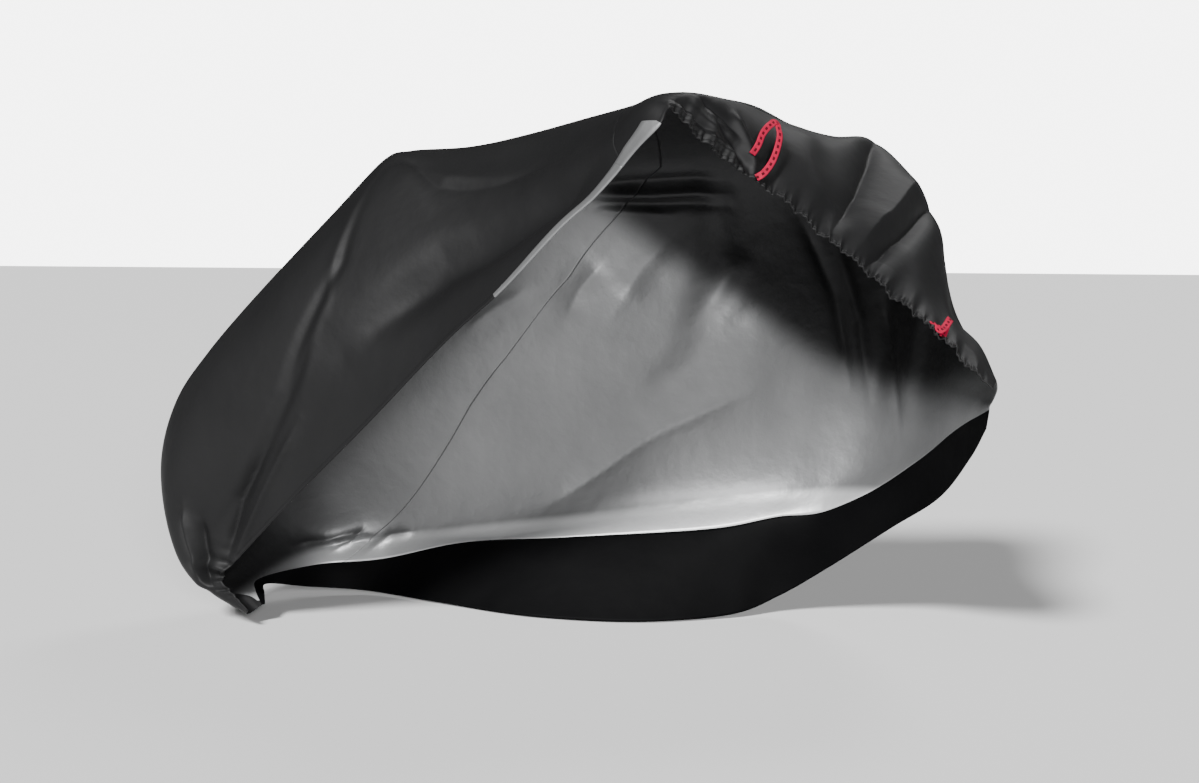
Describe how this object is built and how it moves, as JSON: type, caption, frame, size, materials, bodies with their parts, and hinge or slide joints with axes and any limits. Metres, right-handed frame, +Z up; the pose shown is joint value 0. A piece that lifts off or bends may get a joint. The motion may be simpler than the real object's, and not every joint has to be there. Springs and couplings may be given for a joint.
{
  "type": "bicycle cover",
  "caption": "Fitted cloth cover hanging hollow over a left-out bicycle, black outside and silver inside, near side pulled up, with webbing loops on its gathered front hem.",
  "frame": {"origin": "middle of the cover's bounding box on the floor it hangs above", "axes": "+X from the rear wheel's end to the front wheel's end, +Y from the opened near side to the far side, +Z up"},
  "size_m": [1.7218, 0.7074, 1.0574],
  "materials": {
    "black_oxford": "matte, faintly shiny coated cloth outside, silver coated inside",
    "silver_coating": "satin silver coating inside, matte black outside",
    "black_polyester": "matte uncoated cloth",
    "red_webbing": "matte woven webbing"
  },
  "bodies": {
    "root": {"near_panel": "black_oxford", "front_hood": "black_oxford", "far_rear_panel": "silver_coating", "far_front_panel": "silver_coating", "far_skirt": "black_polyester", "upper_loop": "red_webbing", "lower_loop": "red_webbing"}
  },
  "joints": []
}
